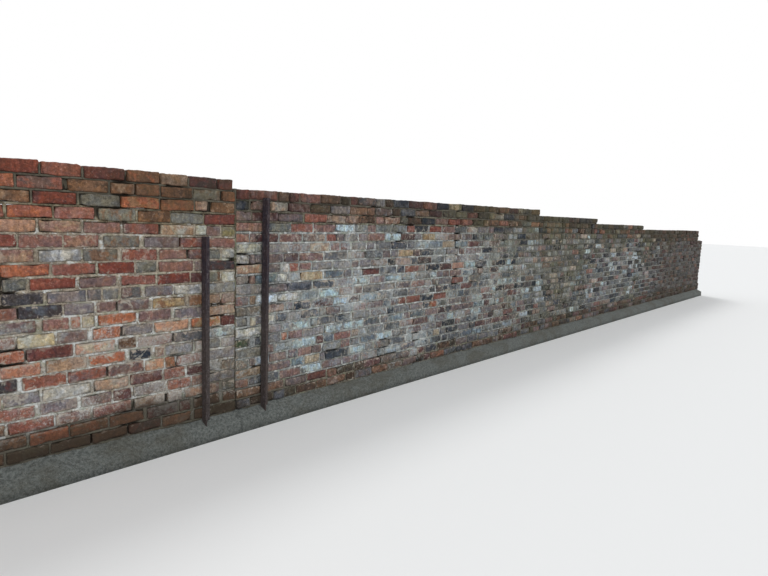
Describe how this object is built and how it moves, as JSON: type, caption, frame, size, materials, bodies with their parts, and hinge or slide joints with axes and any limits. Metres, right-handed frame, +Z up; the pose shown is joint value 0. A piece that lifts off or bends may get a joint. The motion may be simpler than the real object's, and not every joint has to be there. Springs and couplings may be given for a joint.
{
  "type": "brick garden wall",
  "caption": "Old one-brick-thick garden wall on a concrete strip, with a straight joint, stepped top and iron posts against its face.",
  "frame": {"origin": "centre of the wall's footprint on the ground", "axes": "+X along the wall towards its lower, stepped end; -Y out of the garden face that carries the iron posts; +Z up"},
  "size_m": [17.6, 0.429, 1.914],
  "materials": {
    "near_brick": "matte",
    "far_brick": "matte",
    "mortar": "matte",
    "concrete": "matte",
    "iron": "matte"
  },
  "bodies": {
    "root": {"near_footing": "concrete", "near_plinth": "near_brick", "near_end_quoin": "near_brick", "near_wall_body": "near_brick", "near_joint_quoin": "near_brick", "near_upper_courses": "near_brick", "near_top_course": "near_brick", "straight_joint_mortar": "mortar", "far_footing": "concrete", "far_plinth": "far_brick", "far_joint_quoin": "far_brick", "bay_1_body": "far_brick", "bay_2_body": "far_brick", "bay_3_body": "far_brick", "bay_4_body": "far_brick", "far_end_quoin": "far_brick", "bay_1_upper_courses": "far_brick", "bay_2_upper_courses": "far_brick", "bay_3_upper_courses": "far_brick", "bay_4_upper_courses": "far_brick", "bay_1_top_course": "far_brick", "bay_2_top_course": "far_brick", "bay_3_top_course": "far_brick", "bay_4_top_course": "far_brick", "short_post": "iron", "tall_post": "iron"}
  },
  "joints": []
}
